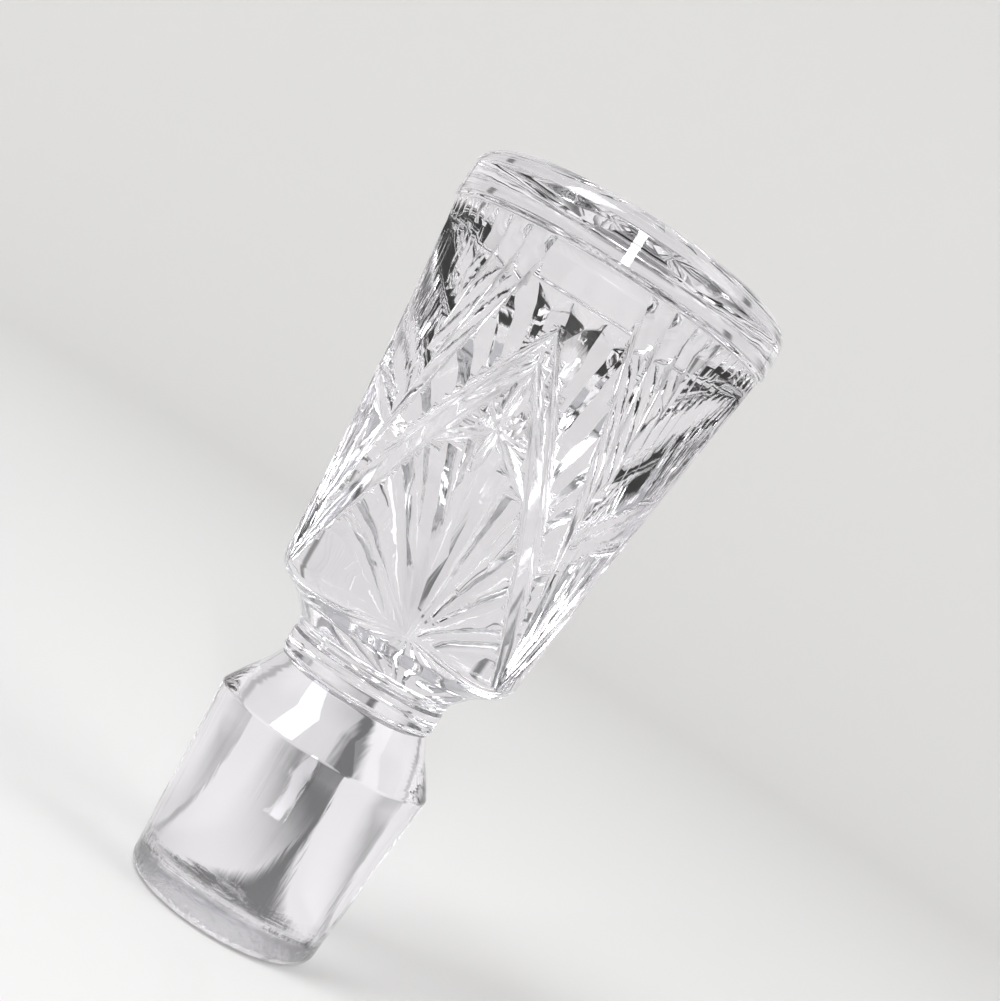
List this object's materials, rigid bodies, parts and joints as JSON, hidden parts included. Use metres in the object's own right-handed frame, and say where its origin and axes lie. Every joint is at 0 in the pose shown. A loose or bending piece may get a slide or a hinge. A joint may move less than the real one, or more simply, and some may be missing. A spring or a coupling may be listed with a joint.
{
  "type": "decanter stopper",
  "caption": "Solid cut-crystal decanter stopper: a tapered plug, a waisted collar and a flared head cut with fans, arches and stars.",
  "frame": {"origin": "centre of the plug's flat bottom, on which it stands", "axes": "+Z along the stopper's axis, from the plug to the head; -Y towards the middle of one panel of the head"},
  "size_m": [0.0438, 0.0438, 0.096],
  "materials": {
    "crystal": "polished"
  },
  "bodies": {
    "root": {"stopper": "crystal"}
  },
  "joints": []
}
